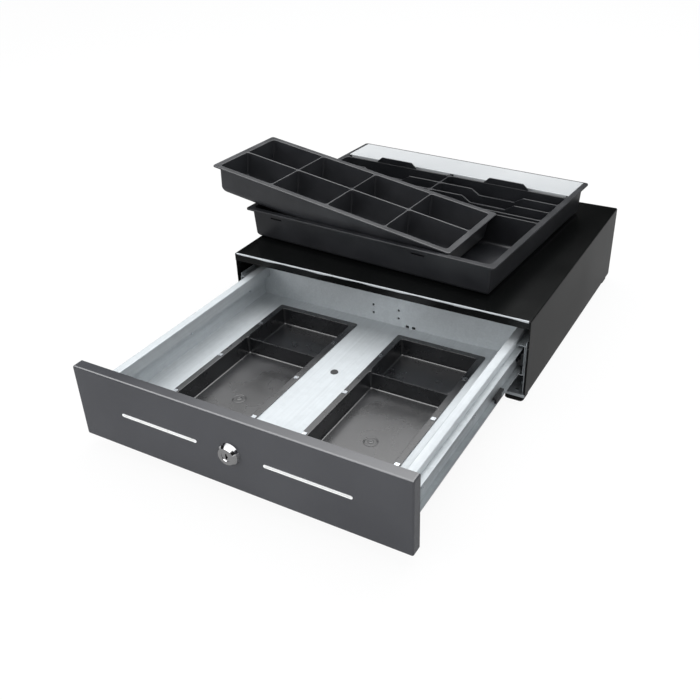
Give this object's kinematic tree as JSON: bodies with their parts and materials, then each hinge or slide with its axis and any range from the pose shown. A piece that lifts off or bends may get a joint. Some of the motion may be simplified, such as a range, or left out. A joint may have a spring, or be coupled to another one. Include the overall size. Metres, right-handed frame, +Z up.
{
  "type": "cash drawer",
  "caption": "Steel cash drawer on ball slides, open, with floor bins, key lock and solenoid latch; its note till and lift-out coin tray stand on the cabinet.",
  "frame": {"origin": "middle of the four counter-fixing holes, on the underside of the base", "axes": "+X to the right seen from the front, +Y from the front to the back, +Z up"},
  "size_m": [0.5316, 0.7443, 0.2299],
  "materials": {
    "cover_paint": "satin black powder coat",
    "fascia_paint": "fine-textured charcoal powder coat",
    "galvanised": "galvanised sheet",
    "zinc": "bright zinc plate",
    "slide_steel": "zinc-plated rolled steel",
    "chrome": "polished",
    "black_abs": "moulded, fine texture",
    "white_abs": "smooth moulding",
    "rubber": "matt",
    "black_nylon": "moulded",
    "coil_tape": "wound and taped",
    "plate_paint": "pale satin",
    "magnet": "ferrite"
  },
  "bodies": {
    "cabinet": {"cabinet_cover": "cover_paint", "cabinet_base": "galvanised", "rear_panel": "galvanised", "panel_screws": "zinc", "interface_socket": "black_nylon", "rubber_feet": "rubber", "foot_screws": "zinc", "side_support_left": "galvanised", "side_support_right": "galvanised", "slide_outer_left": "slide_steel", "slide_outer_right": "slide_steel", "slide_bumpers": "black_nylon", "slide_screws": "zinc", "lock_keeper": "galvanised", "latch_bracket": "galvanised", "hook_pin": "zinc", "solenoid_frame": "zinc", "solenoid_coil": "coil_tape", "ejector_housing": "black_nylon", "closed_sensor": "black_nylon", "base_screws": "zinc"},
    "drawer": {"drawer_pan": "galvanised", "drawer_fascia": "fascia_paint", "fascia_screws": "zinc", "media_slot_liners": "white_abs", "lock_housing": "chrome", "lock_nut": "zinc", "slide_inner_left": "slide_steel", "slide_inner_right": "slide_steel", "release_levers": "black_nylon", "drawer_slide_screws": "zinc", "bin_left": "black_abs", "bin_right": "black_abs", "bin_clips": "zinc", "floor_plug": "black_nylon", "striker_bracket": "galvanised", "striker_pin": "zinc", "sensor_magnet": "magnet"},
    "cage_left": {"ball_cage_left": "slide_steel", "slide_balls_left": "chrome"},
    "cage_right": {"ball_cage_right": "slide_steel", "slide_balls_right": "chrome"},
    "lock": {"lock_core": "chrome", "lock_cam": "zinc", "cam_screw": "zinc"},
    "hook": {"latch_hook": "zinc"},
    "plunger": {"solenoid_plunger": "zinc", "plunger_pin": "zinc"},
    "ejector": {"ejector_pusher": "black_nylon"},
    "till": {"till_tray": "black_abs", "till_plate": "plate_paint"},
    "coins": {"coin_tray": "black_abs"}
  },
  "joints": [
    {"name": "drawer_slide", "type": "slide", "parent": "cabinet", "child": "drawer", "axis": [0, 1, 0], "range_m": [0, 0.317]},
    {"name": "cage_slide_left", "type": "slide", "parent": "cabinet", "child": "cage_left", "axis": [0, 1, 0], "range_m": [0, 0.1585]},
    {"name": "cage_slide_right", "type": "slide", "parent": "cabinet", "child": "cage_right", "axis": [0, 1, 0], "range_m": [0, 0.1585]},
    {"name": "lock_turn", "type": "hinge", "parent": "drawer", "child": "lock", "pos_m": [0, -0.52, 0.06], "axis": [0, 1, 0], "range_deg": [0, 90]},
    {"name": "hook_turn", "type": "hinge", "parent": "cabinet", "child": "hook", "pos_m": [0.041, 0.191, 0.052], "axis": [1, 0, 0], "range_deg": [0, 16]},
    {"name": "plunger_slide", "type": "slide", "parent": "cabinet", "child": "plunger", "axis": [0, 0, 1], "range_m": [-0.00395, 0]},
    {"name": "ejector_push", "type": "slide", "parent": "cabinet", "child": "ejector", "axis": [0, 1, 0], "range_m": [0, 0.012], "stiffness_N_per_m": 150},
    {"name": "till_lift", "type": "slide", "parent": "cabinet", "child": "till", "axis": [0, 0, 1], "range_m": [0, 0.2]},
    {"name": "coin_tray_lift", "type": "slide", "parent": "till", "child": "coins", "axis": [0, 0, 1], "range_m": [0, 0.15]}
  ],
  "couplings": [
    {"joint": "cage_slide_left", "follows": "drawer_slide", "ratio": 0.5},
    {"joint": "cage_slide_right", "follows": "drawer_slide", "ratio": 0.5},
    {"joint": "plunger_slide", "follows": "hook_turn", "m_per_rad": -0.014}
  ]
}
